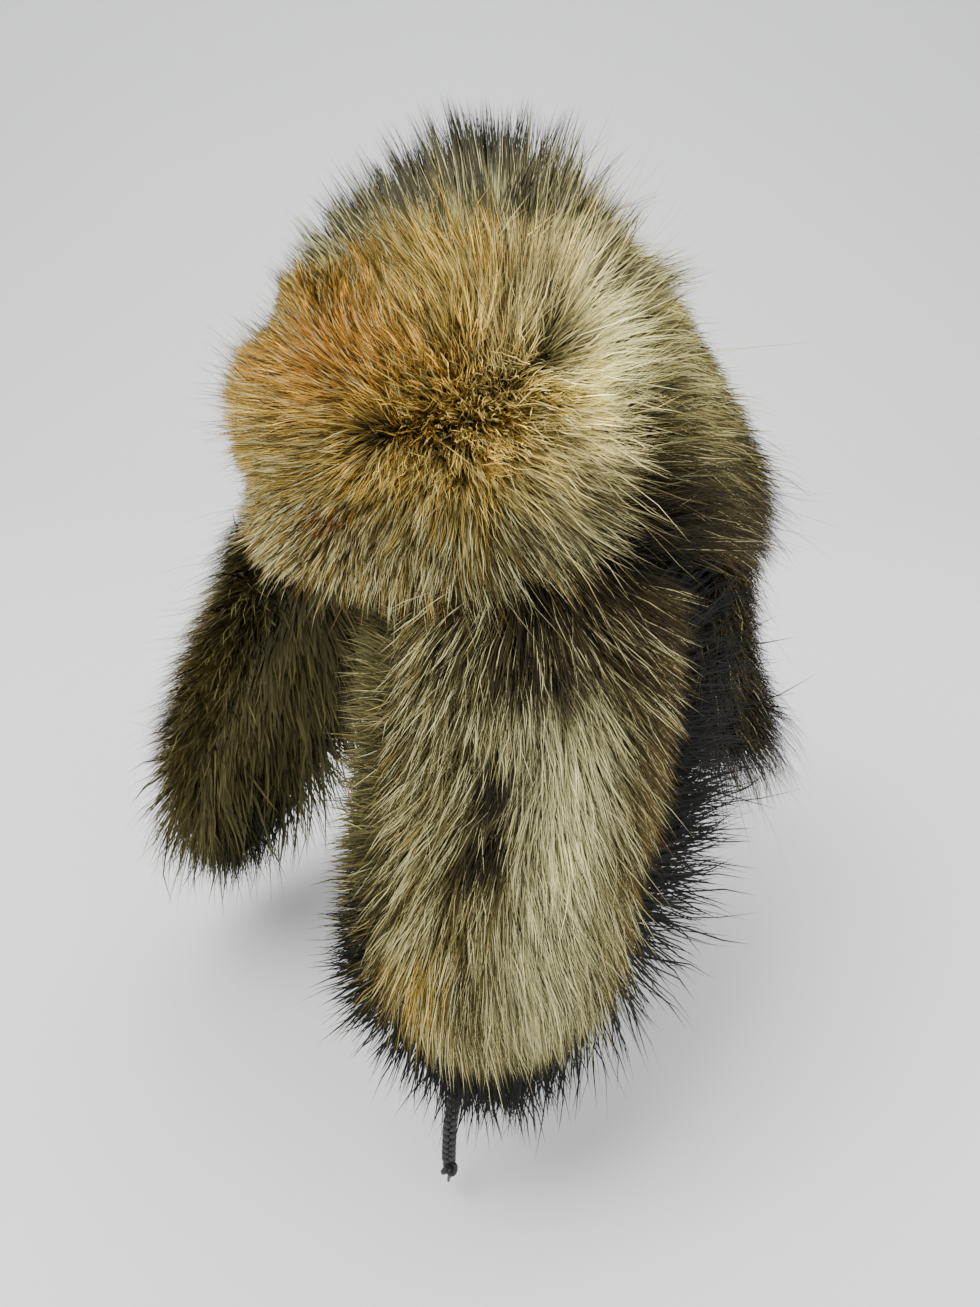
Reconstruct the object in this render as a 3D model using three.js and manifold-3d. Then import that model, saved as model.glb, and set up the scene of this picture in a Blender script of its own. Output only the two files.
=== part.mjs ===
// Fur trapper hat: a hollow padded crown with a turned-up peak, two hanging ear flaps and a neck flap,
// each with its own pelt. A pelt is one closed solid, a backing with rings of overlapping locks.
// Millimetres, +Z up, the face looks along -Y, the wearer's left is +X.
// The origin is the inside top of the crown, where the head sits.
import * as THREE from "three";
import { mergeVertices } from "three/addons/utils/BufferGeometryUtils.js";
import Module from "manifold-3d";

const wasm = await Module();
wasm.setup();

// Crown: the hollow that the head goes into, its padded wall, and how much more pointed than an ellipse it is
const HEAD_HALF_WIDTH = 80;
const HEAD_HALF_LENGTH = 99;
const CROWN_DEPTH = 112;
const CROWN_WALL = 4;
const CROWN_TAPER = 1.15;

// Flaps and peak: leather walls and the clearance between neighbours
const FLAP_WALL = 3;
const SEAM_GAP = 0.4;

// Peak: the turned-up front, hinged on the crown's rim. Its skew makes it higher on the wearer's left.
const PEAK_HALF_ANGLE = 68;
const PEAK_HEIGHT = 96;
const PEAK_STAND = 4;
const PEAK_LEAN = 20;
const PEAK_SKEW = 0.12;

// Neck flap: hangs from the rim behind the ear flaps
const NECK_FROM_ANGLE = 100;
const NECK_DROP = 108;
const NECK_FLARE = 14;

// Ear flap: its drop below the rim and its widest half width
const EAR_DROP = 168;
const EAR_HALF_WIDTH = 50;

// Fur depths, and how far the fur reaches past each edge
const CROWN_TOP_FUR = 26;
const CROWN_SIDE_FUR = 10;
const CROWN_RIM_FUR = 30;
const HELD_FUR = 3;
const PEAK_FUR = 26;
const PEAK_TOP_REACH = 24;
const PEAK_CORNER_REACH = 16;
const PEAK_SIDE_REACH = 30;
const PEAK_BROW_REACH = 22;
const EAR_FUR = 24;
const LINING_FUR = 13;
const EAR_SIDE_REACH = 26;
const EAR_HANG = 50;
const NECK_FUR = 26;
const NECK_SIDE_REACH = 14;
const NECK_HANG = 50;

// Plaited tie at the left ear flap
const TIE_WIDTH = 6;
const TIE_KNOT_RADIUS = 4.4;

// Ear flap sections from the rim down. drop is a share of EAR_DROP, half a share of EAR_HALF_WIDTH;
// ahead and out are the section's middle, as shares of the head's half length and half width;
// turn is how far its front edge turns in, in degrees; bow is its outward curve as a share of half.
const EAR_SECTIONS = [
  { drop: 0.0, half: 0.98, ahead: 0.43, out: 0.74, turn: 24, bow: 0.24 },
  { drop: 0.3, half: 0.96, ahead: 0.59, out: 1.0, turn: 23, bow: 0.22 },
  { drop: 0.6, half: 0.94, ahead: 0.79, out: 1.18, turn: 22, bow: 0.18 },
  { drop: 0.82, half: 0.86, ahead: 0.91, out: 1.28, turn: 22, bow: 0.16 },
  { drop: 1.0, half: 0.6, ahead: 0.98, out: 1.35, turn: 22, bow: 0.14 },
];

// The tie's route below the left flap's lower edge, chosen by hand: a row per point of its middle line,
// from where it is sewn on. drop is down, ahead towards the face and in towards the other flap.
const TIE_ROUTE = [
  { drop: 0, ahead: 0, in: 0 },
  { drop: 12, ahead: 1, in: 0.5 },
  { drop: 24, ahead: 3, in: 1.5 },
  { drop: 36, ahead: 5, in: 2.5 },
  { drop: 48, ahead: 6.5, in: 3.2 },
  { drop: 60, ahead: 7.2, in: 3.6 },
  { drop: 70, ahead: 7.5, in: 3.8 },
];

const FULL_TURN = 2 * Math.PI;
const radians = THREE.MathUtils.degToRad;
const lerp = THREE.MathUtils.lerp;
const smoothstep = THREE.MathUtils.smoothstep;

// Closed solid from rings of points between a front pole and a back pole. The back rings are split
// along the same diagonals as a wall's front, so that two solids on one grid lie evenly on each other.
// A tufted front has three rings to a row of locks, each split towards the middle of its lock.
function solidFromRings(front, frontPole, back, backPole, tufted = false) {
  const count = front[0].length;
  const rings = [...front, ...back];
  const points = [...rings.flat(), frontPole, backPole];
  const faces = [];
  for (let i = 0; i + 1 < rings.length; i++) {
    for (let j = 0; j < count; j++) {
      const [a, b] = [i * count + j, i * count + ((j + 1) % count)];
      const [c, d] = [a + count, b + count];
      const turned = tufted && i + 1 < front.length && (j + Math.floor(i / 3)) % 2 === 0;
      faces.push(...(i < front.length && !turned ? [a, b, c, b, d, c] : [a, b, d, a, d, c]));
    }
  }
  const last = (rings.length - 1) * count;
  for (let j = 0; j < count; j++) {
    const next = (j + 1) % count;
    faces.push(points.length - 2, next, j, points.length - 1, last + j, last + next);
  }
  const geometry = new THREE.BufferGeometry();
  geometry.setAttribute("position", new THREE.Float32BufferAttribute(points.flatMap((p) => [p.x, p.y, p.z]), 3));
  geometry.setIndex(faces);
  return toManifold(geometry);
}

function toManifold(geometry) {
  for (const name of Object.keys(geometry.attributes)) {
    if (name !== "position") geometry.deleteAttribute(name);
  }
  const merged = mergeVertices(geometry, 1e-4);
  const made = new wasm.Manifold(
    new wasm.Mesh({
      numProp: 3,
      vertProperties: new Float32Array(merged.attributes.position.array),
      triVerts: new Uint32Array(merged.index.array),
    }),
  );
  if (made.volume() > 0) return made;
  const turned = new Uint32Array(merged.index.array).reverse();
  return new wasm.Manifold(
    new wasm.Mesh({
      numProp: 3,
      vertProperties: new Float32Array(merged.attributes.position.array),
      triVerts: turned,
    }),
  );
}

// The largest body that is left of a solid once its neighbours are cut away
function cutClear(solid, neighbours) {
  const left = neighbours.reduce((rest, other) => rest.subtract(other), solid);
  return left.decompose().reduce((most, body) => (body.volume() > most.volume() ? body : most));
}

// A point, its outward normal and the way in which a share grows, on a skin given as place(angle, share)
function skinFrame(place, angle, share, outward) {
  const step = 1e-3;
  const point = place(angle, share);
  const flow = place(angle, share + step).sub(place(angle, share - step)).normalize();
  const across = place(angle + step, share).sub(place(angle - step, share));
  const normal = across.cross(flow).normalize();
  return { point, flow, normal: normal.multiplyScalar(outward) };
}

// Crown surface at a distance outside the hollow: angle 0 is the front, share 0 the top and 1 the rim
function crownPlace(angle, share, outside) {
  const tilt = share * (Math.PI / 2);
  const [wide, high] = [Math.sin(tilt), Math.cos(tilt)].map((value) => Math.sign(value) * Math.abs(value) ** CROWN_TAPER);
  return new THREE.Vector3(
    (HEAD_HALF_WIDTH + outside) * wide * Math.sin(angle),
    -(HEAD_HALF_LENGTH + outside) * wide * Math.cos(angle),
    (CROWN_DEPTH + outside) * high - CROWN_DEPTH,
  );
}

// A point of the rim's ellipse, moved outside it and to a height
function rimPlace(angle, outside, z) {
  return new THREE.Vector3(
    (HEAD_HALF_WIDTH + outside) * Math.sin(angle),
    -(HEAD_HALF_LENGTH + outside) * Math.cos(angle),
    z,
  );
}

// Panels are placed by across and along, which run from -1 to 1. along is -1 where the panel is sewn on.
function peakPlace(across, along, outside) {
  const rise = ((along + 1) / 2) * (1 + PEAK_SKEW * across);
  const stand = CROWN_WALL + SEAM_GAP + PEAK_STAND - PEAK_LEAN * rise * rise;
  return rimPlace(radians(PEAK_HALF_ANGLE) * across, stand + outside, PEAK_HEIGHT * rise - CROWN_DEPTH + SEAM_GAP);
}

function neckPlace(across, along, outside) {
  const drop = (along + 1) / 2;
  const angle = Math.PI + (Math.PI - radians(NECK_FROM_ANGLE)) * across;
  const stand = CROWN_WALL - FLAP_WALL + NECK_FLARE * drop * drop;
  return rimPlace(angle, stand + outside, -CROWN_DEPTH - SEAM_GAP - NECK_DROP * drop);
}

// A value of the ear flap's section table at a share of its drop, smooth between the rows
function earSection(name, drop) {
  const rows = EAR_SECTIONS;
  const last = rows.length - 2;
  const at = rows.findIndex((row, i) => i === last || drop <= rows[i + 1].drop);
  const [before, from, to, after] = [at - 1, at, at + 1, at + 2].map((i) => {
    return rows[THREE.MathUtils.clamp(i, 0, rows.length - 1)];
  });
  const t = (drop - from.drop) / (to.drop - from.drop);
  const slope = (a, b) => ((b[name] - a[name]) / (b.drop - a.drop || 1)) * (to.drop - from.drop);
  const [m0, m1] = [slope(before, to), slope(from, after)];
  const [t2, t3] = [t * t, t * t * t];
  return (
    (2 * t3 - 3 * t2 + 1) * from[name] + (t3 - 2 * t2 + t) * m0 + (3 * t2 - 2 * t3) * to[name] + (t3 - t2) * m1
  );
}

// Ear flap of the wearer's left side: across is -1 at its front edge
function earPlace(across, along, outside) {
  const drop = (along + 1) / 2;
  const half = earSection("half", drop) * EAR_HALF_WIDTH;
  const turn = radians(earSection("turn", drop));
  const bow = half * earSection("bow", drop) * (1 - across * across) + outside;
  const middle = new THREE.Vector3(
    earSection("out", drop) * HEAD_HALF_WIDTH,
    -earSection("ahead", drop) * HEAD_HALF_LENGTH,
    -CROWN_DEPTH - SEAM_GAP - EAR_DROP * drop,
  );
  const chord = new THREE.Vector3(Math.sin(turn), Math.cos(turn), 0);
  const out = new THREE.Vector3(Math.cos(turn), -Math.sin(turn), 0);
  return middle.addScaledVector(chord, half * across).addScaledVector(out, bow);
}

// Each part's skin runs from a pole, share 0, to its outline, share 1. Its wall and its pelts
// are cut into the same tufts round and the same rows out, so that they lie evenly on each other.
const CROWN = { skin: (outside) => (angle, share) => crownPlace(angle, share, outside), tufts: 24, rows: 6 };
const PEAK = { skin: roundedPanel(peakPlace, 0, -0.1, 2.7), tufts: 20, rows: 4 };
const NECK = { skin: roundedPanel(neckPlace, 0, -0.7, 4), tufts: 16, rows: 3 };
const EAR = { skin: roundedPanel(earPlace, 0, -0.6, 4), tufts: 16, rows: 4 };

function roundedPanel(place, poleAcross, poleAlong, roundness) {
  return (outside) => (angle, share) => {
    const [c, s] = [Math.cos(angle), Math.sin(angle)];
    const edge = (Math.abs(c) ** roundness + Math.abs(s) ** roundness) ** (-1 / roundness);
    return place(lerp(poleAcross, c * edge, share), lerp(poleAlong, s * edge, share), outside);
  };
}

// Wall of a part between two distances outside its own surface, out to a share of its outline
function wall({ skin, tufts, rows }, from, to, edge = 1) {
  const columns = tufts * 2;
  const ring = (place, share) => {
    return Array.from({ length: columns }, (_, j) => place((j / columns) * FULL_TURN, share));
  };
  const shares = Array.from({ length: rows }, (_, i) => (i + 1) / rows);
  shares[rows - 1] = edge;
  const [inner, outer] = [skin(from), skin(to)];
  const [front, back] = [shares.map((s) => ring(outer, s)), shares.map((s) => ring(inner, s)).reverse()];
  return solidFromRings(front, outer(0, 0), back, inner(0, 0));
}

// A pelt on a part's skin: rows of pointed locks grow from the pole to the edge and past it.
// Each row of locks rises to its tips, which alternate with notches, and the next row starts under them.
// depth(angle, share) is the fur's depth, edgeReach(angle) its reach past the edge, and swell makes
// the solid larger by a clearance all round.
function pelt(part, { base, outward, depth, edgeReach, rows = part.rows }, swell = 0) {
  const columns = part.tufts * 2;
  const place = part.skin(base);
  const ring = (share, rise, row, past = [0, 0]) => {
    return Array.from({ length: columns }, (_, j) => {
      const angle = (j / columns) * FULL_TURN;
      const tip = (j + row) % 2;
      const { point, normal, flow } = skinFrame(place, angle, share[tip] ?? share, outward);
      const lift = rise[tip] * depth(angle, share[tip] ?? share) + swell;
      return point.addScaledVector(normal, lift).addScaledVector(flow, past[tip] * edgeReach(angle) + swell);
    });
  };
  const front = [];
  for (let row = 0; row < rows; row++) {
    const past = row === rows - 1;
    front.push(ring((row + 0.45) / rows, [0.7, 0.92], row));
    if (past) {
      front.push(ring(1, [0.4, 0.5], row, [0.3, 1]));
    } else {
      front.push(ring([(row + 1.1) / rows, (row + 1.6) / rows], [0.66, 1], row));
      front.push(ring((row + 1.1) / rows, [0.45, 0.6], row));
    }
  }
  const shares = Array.from({ length: part.rows }, (_, i) => 1 - i / part.rows);
  const back = shares.map((share) => {
    return Array.from({ length: columns }, (_, j) => {
      const { point, normal, flow } = skinFrame(place, (j / columns) * FULL_TURN, share, outward);
      return point.addScaledVector(normal, -swell).addScaledVector(flow, share === 1 ? swell : 0);
    });
  });
  const { normal } = skinFrame(place, 0, 1e-2, outward);
  const crest = place(0, 0).addScaledVector(normal, 0.8 * depth(0, 0) + swell);
  return solidFromRings(front, crest, back, place(0, 0).addScaledVector(normal, -swell), true);
}

// Crown fur stands up on the top and at the rim, lies flatter between, and is pressed flat behind the peak
function crownFurDepth(angle, share) {
  const ahead = Math.cos(angle);
  const edge = Math.cos(radians(PEAK_HALF_ANGLE));
  const behindPeak = smoothstep(ahead, edge - 0.15, edge + 0.15) * smoothstep(share, 0.34, 0.68);
  const side = lerp(CROWN_SIDE_FUR, CROWN_TOP_FUR, smoothstep(ahead, -0.2, 0.8));
  const upper = lerp(CROWN_TOP_FUR, side, smoothstep(share, 0.1, 0.45));
  return lerp(lerp(upper, CROWN_RIM_FUR, smoothstep(share, 0.5, 1)), HELD_FUR, behindPeak);
}

const crownPelt = (swell) => {
  const base = CROWN_WALL + SEAM_GAP;
  return pelt(CROWN, { base, outward: -1, depth: crownFurDepth, edgeReach: () => 0 }, swell);
};

// Reach past a panel's outline: one length at its sewn edge, one at its sides and one at its free edge
const reachRound = (sewn, sides, free) => (angle) => {
  const along = Math.sin(angle);
  return lerp(sides, along < 0 ? sewn : free, along * along);
};

const peakPelt = (swell) => {
  const round = reachRound(PEAK_BROW_REACH, PEAK_SIDE_REACH, PEAK_TOP_REACH);
  const edgeReach = (angle) => round(angle) + PEAK_CORNER_REACH * Math.max(0, Math.sin(angle)) * Math.cos(angle);
  const base = FLAP_WALL + SEAM_GAP;
  return pelt(PEAK, { base, outward: -1, depth: () => PEAK_FUR, edgeReach }, swell);
};

const neckPelt = (swell) => {
  const edgeReach = reachRound(0, NECK_SIDE_REACH, NECK_HANG);
  const base = FLAP_WALL + SEAM_GAP;
  return pelt(NECK, { base, outward: 1, depth: () => NECK_FUR, edgeReach }, swell);
};

const earPelt = (swell) => {
  const edgeReach = reachRound(0, EAR_SIDE_REACH, EAR_HANG);
  const base = FLAP_WALL + SEAM_GAP;
  return pelt(EAR, { base, outward: 1, depth: () => EAR_FUR, edgeReach }, swell);
};

const earLining = (swell) => {
  const edgeReach = reachRound(0, EAR_SIDE_REACH, EAR_HANG);
  return pelt(EAR, { base: -SEAM_GAP, outward: -1, depth: () => LINING_FUR, edgeReach, rows: 2 }, swell);
};

// Plaited lace: a tube along its route, and the knot near its free end
const tiePoints = TIE_ROUTE.map((row) => {
  const sewn = earPlace(-0.5, 0.985, FLAP_WALL / 2);
  return sewn.add(new THREE.Vector3(-row.in, -row.ahead, -row.drop - SEAM_GAP));
});

function tieLace(swell) {
  const route = new THREE.CatmullRomCurve3(tiePoints);
  const section = new THREE.Shape();
  section.absarc(0, 0, TIE_WIDTH / 2 + swell, 0, FULL_TURN);
  return toManifold(new THREE.ExtrudeGeometry(section, { extrudePath: route, steps: 8, curveSegments: 4 }));
}

function tieKnot() {
  const knot = new THREE.SphereGeometry(TIE_KNOT_RADIUS, 12, 8);
  const end = tiePoints.at(-1);
  knot.translate(end.x, end.y, end.z - TIE_KNOT_RADIUS - SEAM_GAP);
  return toManifold(knot);
}

const LEATHER = { color: 0x1d1a18, roughness: 0.75, metalness: 0 };
const COYOTE = { color: 0x8f7448, roughness: 0.9, metalness: 0 };
const BLACK_FUR = { color: 0x17171a, roughness: 0.85, metalness: 0 };
const LACE = { color: 0x0c0c0e, roughness: 0.5, metalness: 0 };

const hat = new THREE.Group();

function addPiece(name, solid, look) {
  const { vertProperties, triVerts } = solid.getMesh();
  const geometry = new THREE.BufferGeometry();
  geometry.setAttribute("position", new THREE.Float32BufferAttribute(vertProperties, 3));
  geometry.setIndex([...triVerts]);
  geometry.computeVertexNormals();
  const mesh = new THREE.Mesh(geometry, new THREE.MeshStandardMaterial(look));
  mesh.name = name;
  hat.add(mesh);
}

// Walls first, then pelts: each pelt is cut clear of those that lie over it
const mirrored = (solid) => solid.mirror([1, 0, 0]);
const belowRim = (solid) => solid.trimByPlane([0, 0, -1], CROWN_DEPTH + SEAM_GAP);
const ear = wall(EAR, 0, FLAP_WALL);
const earSpace = wall(EAR, -SEAM_GAP, FLAP_WALL + SEAM_GAP, 1.01);
const peakFur = cutClear(peakPelt(0), [earSpace, mirrored(earSpace)]);
const peakSpace = wall(PEAK, -SEAM_GAP, PEAK_FUR, 1.3);
const neckFur = neckPelt(0);
const overEar = [peakPelt(SEAM_GAP), neckPelt(SEAM_GAP), peakFur, neckFur];
const tieSpace = tieLace(SEAM_GAP);

addPiece("crown", wall(CROWN, 0, CROWN_WALL), LEATHER);
addPiece("crown_fur", cutClear(crownPelt(0), [peakSpace]), COYOTE);
addPiece("peak", wall(PEAK, 0, FLAP_WALL), LEATHER);
addPiece("peak_fur", peakFur, COYOTE);
addPiece("neck_flap", wall(NECK, 0, FLAP_WALL), LEATHER);
addPiece("neck_flap_fur", neckFur, COYOTE);
addPiece("ear_flap_left", ear, LEATHER);
addPiece("ear_flap_left_fur", cutClear(belowRim(earPelt(0)), [...overEar, tieSpace]), COYOTE);
addPiece("ear_flap_left_lining", cutClear(earLining(0), [...overEar, tieSpace]), BLACK_FUR);
addPiece("ear_flap_right", mirrored(ear), LEATHER);
addPiece("ear_flap_right_fur", cutClear(mirrored(belowRim(earPelt(0))), overEar), COYOTE);
addPiece("ear_flap_right_lining", cutClear(mirrored(earLining(0)), overEar), BLACK_FUR);
addPiece("tie_lace", tieLace(0), LACE);
addPiece("tie_knot", tieKnot(), LACE);

export default hat;
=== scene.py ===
"""Fur trapper hat: leather walls, coyote-coloured fur, black lining fur, a plaited tie and a plain studio.

Lengths are in metres. +Z is up, the face looks along -Y and the wearer's left is +X.
Colours are written as ordinary screen values from 0 to 255 and turned into linear light by tone().
"""

import math

import bpy
import numpy as np
from bpy.props import FloatProperty, IntProperty, PointerProperty
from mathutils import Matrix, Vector


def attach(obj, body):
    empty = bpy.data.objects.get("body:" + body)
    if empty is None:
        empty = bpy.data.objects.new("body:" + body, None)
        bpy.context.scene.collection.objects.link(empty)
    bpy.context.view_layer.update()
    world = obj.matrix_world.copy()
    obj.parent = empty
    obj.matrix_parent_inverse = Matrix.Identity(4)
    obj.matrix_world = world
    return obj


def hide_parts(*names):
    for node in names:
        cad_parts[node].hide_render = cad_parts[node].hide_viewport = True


bl_info = {
    "name": "Fur trapper hat",
    "version": (1, 0, 0),
    "blender": (4, 5, 0),
    "location": "View3D > Sidebar > Hat",
    "description": "Dresses a fur trapper hat with hair, leather and a plaited tie",
    "category": "Object",
}

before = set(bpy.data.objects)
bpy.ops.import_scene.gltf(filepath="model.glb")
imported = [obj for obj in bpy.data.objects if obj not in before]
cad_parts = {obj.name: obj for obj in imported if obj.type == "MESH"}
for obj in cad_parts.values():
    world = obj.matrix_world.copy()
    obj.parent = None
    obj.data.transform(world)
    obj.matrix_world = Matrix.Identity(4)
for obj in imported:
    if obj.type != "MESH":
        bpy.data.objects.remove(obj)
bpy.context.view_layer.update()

# Sizes shared with the solids
HEAD_HALF_WIDTH = 0.080
HEAD_HALF_LENGTH = 0.099
CROWN_DEPTH = 0.112
CROWN_WALL = 0.004
CROWN_TAPER = 1.15
FLAP_WALL = 0.003
SEAM_GAP = 0.0004
PEAK_HALF_ANGLE = math.radians(68)
PEAK_HEIGHT = 0.096
PEAK_STAND = 0.004
PEAK_LEAN = 0.020
PEAK_SKEW = 0.12
NECK_HALF_ANGLE = math.radians(80)
NECK_DROP = 0.108
NECK_FLARE = 0.014
EAR_DROP = 0.168
EAR_HALF_WIDTH = 0.050

# Ear flap sections from the rim down, with the same columns as the solid's table
EAR_SECTIONS = [
    {"drop": 0.0, "half": 0.98, "ahead": 0.43, "out": 0.74, "turn": 24, "bow": 0.24},
    {"drop": 0.3, "half": 0.96, "ahead": 0.59, "out": 1.00, "turn": 23, "bow": 0.22},
    {"drop": 0.6, "half": 0.94, "ahead": 0.79, "out": 1.18, "turn": 22, "bow": 0.18},
    {"drop": 0.82, "half": 0.86, "ahead": 0.91, "out": 1.28, "turn": 22, "bow": 0.16},
    {"drop": 1.0, "half": 0.60, "ahead": 0.98, "out": 1.35, "turn": 22, "bow": 0.14},
]

# Tie: the plait's width and crossings; how far its knot lies below the route's end, the knot's size and
# its strand's radius
TIE_WIDTH = 0.006
TIE_TURNS = 6.5
KNOT_DROP = 0.0048
KNOT_SIZE = 0.00088
KNOT_STRAND = 0.00125

# The tie's route below the left flap's edge, in millimetres, as in the solid
TIE_ROUTE = [
    {"drop": 0, "ahead": 0, "in": 0},
    {"drop": 12, "ahead": 1, "in": 0.5},
    {"drop": 24, "ahead": 3, "in": 1.5},
    {"drop": 36, "ahead": 5, "in": 2.5},
    {"drop": 48, "ahead": 6.5, "in": 3.2},
    {"drop": 60, "ahead": 7.2, "in": 3.6},
    {"drop": 70, "ahead": 7.5, "in": 3.8},
]


def tone(red, green, blue):
    """Linear colour of a screen colour: the standard curve, a power of 2.4 with a small offset."""
    value = np.array([red, green, blue]) / 255.0
    return np.where(value < 0.04045, value / 12.92, ((value + 0.055) / 1.055) ** 2.4)


ORANGE = tone(222, 146, 40)
DEEP_ORANGE = tone(186, 98, 24)
GOLD = tone(204, 164, 74)
PALE_GOLD = tone(234, 206, 128)
CREAM = tone(246, 240, 206)
OLIVE = tone(134, 114, 58)
GREY_TAN = tone(176, 166, 116)
BROWN = tone(104, 80, 38)
UMBER = tone(54, 42, 22)
BLACK = tone(16, 15, 14)
COAL = tone(20, 20, 22)


# The hat's room, its low and high corners: hairs that would leave it are shortened
ROOM_LOW = np.array([-0.160, -0.169, -0.378])
ROOM_HIGH = np.array([0.160, 0.157, 0.047])

# Balance of red, green and blue that warms every hair colour alike
HAIR_BALANCE = np.array([1.04, 1.02, 0.72])

# A small move in a skin's coordinates, from which the way along the skin is read
COMB_STEP = 0.02


def unit(vectors):
    """Vectors scaled to length one."""
    return vectors / np.maximum(np.linalg.norm(vectors, axis=-1, keepdims=True), 1e-9)


def step_up(value, low, high):
    """Goes smoothly from 0 at low to 1 at high: three times the square less twice the cube."""
    share = np.clip((value - low) / (high - low), 0, 1)
    return share * share * (3 - 2 * share)


def blend(first, second, amount):
    """Straight-line mix from first to second, an amount for each row."""
    return first + (second - first) * np.asarray(amount)[..., None]


def drift(points, size, seed):
    """Smooth noise from about -1 to 1: the mean of eight sine waves of one size in random directions."""
    rng = np.random.default_rng(seed)
    waves = unit(rng.normal(size=(8, 3))) * (2 * math.pi / size) * rng.uniform(0.7, 1.4, (8, 1))
    return 1.9 * np.sin(points @ waves.T + rng.uniform(0, 2 * math.pi, 8)).mean(axis=-1)


# Skins: each takes two coordinates and a distance outside, and gives points


def crown_skin(angle, share, outside):
    """Dome: sine and cosine of the tilt from the top, to the power of the taper, times the half sizes."""
    tilt = share * math.pi / 2
    wide = np.abs(np.sin(tilt)) ** CROWN_TAPER
    high = np.sign(np.cos(tilt)) * np.abs(np.cos(tilt)) ** CROWN_TAPER
    return np.stack(
        [
            (HEAD_HALF_WIDTH + outside) * wide * np.sin(angle),
            -(HEAD_HALF_LENGTH + outside) * wide * np.cos(angle),
            (CROWN_DEPTH + outside) * high - CROWN_DEPTH,
        ],
        axis=-1,
    )


def rim_place(angle, outside, height):
    """A point of the rim's ellipse moved outside it, at a height."""
    x = (HEAD_HALF_WIDTH + outside) * np.sin(angle)
    y = -(HEAD_HALF_LENGTH + outside) * np.cos(angle)
    return np.stack([x, y, height + 0 * x], axis=-1)


def peak_skin(across, along, outside):
    """Turned-up peak: follows the rim, and leans back by the square of its rise."""
    rise = (along + 1) / 2 * (1 + PEAK_SKEW * across)
    stand = CROWN_WALL + SEAM_GAP + PEAK_STAND - PEAK_LEAN * rise * rise
    return rim_place(PEAK_HALF_ANGLE * across, stand + outside, PEAK_HEIGHT * rise - CROWN_DEPTH + SEAM_GAP)


def neck_skin(across, along, outside):
    """Neck flap: follows the rim behind, and flares by the square of its drop."""
    drop = (along + 1) / 2
    stand = CROWN_WALL - FLAP_WALL + NECK_FLARE * drop * drop
    height = -CROWN_DEPTH - SEAM_GAP - NECK_DROP * drop
    return rim_place(math.pi + NECK_HALF_ANGLE * across, stand + outside, height)


def ear_section(name, drop):
    """A column of the ear flap's table at a share of its drop: cubic pieces with matching slopes."""
    at = np.array([row["drop"] for row in EAR_SECTIONS])
    value = np.array([row[name] for row in EAR_SECTIONS], dtype=float)
    slope = np.empty_like(value)
    slope[1:-1] = (value[2:] - value[:-2]) / (at[2:] - at[:-2])
    slope[0] = (value[1] - value[0]) / (at[1] - at[0])
    slope[-1] = (value[-1] - value[-2]) / (at[-1] - at[-2])
    i = np.clip(np.searchsorted(at, drop, side="left") - 1, 0, len(at) - 2)
    gap = at[i + 1] - at[i]
    t = (drop - at[i]) / gap
    start = (2 * t**3 - 3 * t**2 + 1) * value[i] + (t**3 - 2 * t**2 + t) * gap * slope[i]
    return start + (3 * t**2 - 2 * t**3) * value[i + 1] + (t**3 - t**2) * gap * slope[i + 1]


def ear_skin(across, along, outside):
    """Left ear flap: a bowed chord for each height, with its middle, turn and half width from the table."""
    drop = (along + 1) / 2
    half = ear_section("half", drop) * EAR_HALF_WIDTH
    turn = np.radians(ear_section("turn", drop))
    bow = half * ear_section("bow", drop) * (1 - across * across) + outside
    zero = 0 * turn
    middle = np.stack(
        [
            ear_section("out", drop) * HEAD_HALF_WIDTH,
            -ear_section("ahead", drop) * HEAD_HALF_LENGTH,
            -CROWN_DEPTH - SEAM_GAP - EAR_DROP * drop,
        ],
        axis=-1,
    )
    chord = np.stack([np.sin(turn), np.cos(turn), zero], axis=-1)
    out = np.stack([np.cos(turn), -np.sin(turn), zero], axis=-1)
    return middle + chord * (half * across)[..., None] + out * bow[..., None]


def peak_coordinates(points):
    """Across and along on the peak for points near it: their angle round the rim, and their height."""
    across = np.arctan2(points[:, 0] / HEAD_HALF_WIDTH, -points[:, 1] / HEAD_HALF_LENGTH) / PEAK_HALF_ANGLE
    rise = (points[:, 2] + CROWN_DEPTH - SEAM_GAP) / PEAK_HEIGHT
    return across, 2 * rise / (1 + PEAK_SKEW * across) - 1


def ear_coordinates(points):
    """Across and along on the left ear flap for points near it: place on the chord, and height."""
    drop = -(points[:, 2] + CROWN_DEPTH + SEAM_GAP) / EAR_DROP
    level = np.clip(drop, 0, 1)
    turn = np.radians(ear_section("turn", level))
    middle = [ear_section("out", level) * HEAD_HALF_WIDTH, -ear_section("ahead", level) * HEAD_HALF_LENGTH]
    from_middle = points[:, :2] - np.stack(middle, axis=-1)
    chord = np.stack([np.sin(turn), np.cos(turn)], axis=-1)
    half = ear_section("half", level) * EAR_HALF_WIDTH
    return (from_middle * chord).sum(axis=1) / half, 2 * drop - 1


# A part's skin, the way it faces, its coordinates' range, how square its outline is, and how far along
# its edge hairs begin
PANEL = {"low": (-1, -1), "high": (1, 1)}
PARTS = {
    "crown": {"skin": crown_skin, "facing": -1, "low": (0, 0.02), "high": (2 * math.pi, 1.0), "square": None},
    "peak": {**PANEL, "skin": peak_skin, "facing": 1, "square": 2.7, "rim_from": -1},
    "neck": {**PANEL, "skin": neck_skin, "facing": -1, "square": 4, "rim_from": -0.9},
    "ear": {**PANEL, "skin": ear_skin, "facing": -1, "square": 4, "rim_from": -0.85},
    "lining": {**PANEL, "skin": ear_skin, "facing": 1, "square": 4, "rim_from": -0.85},
}


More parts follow.
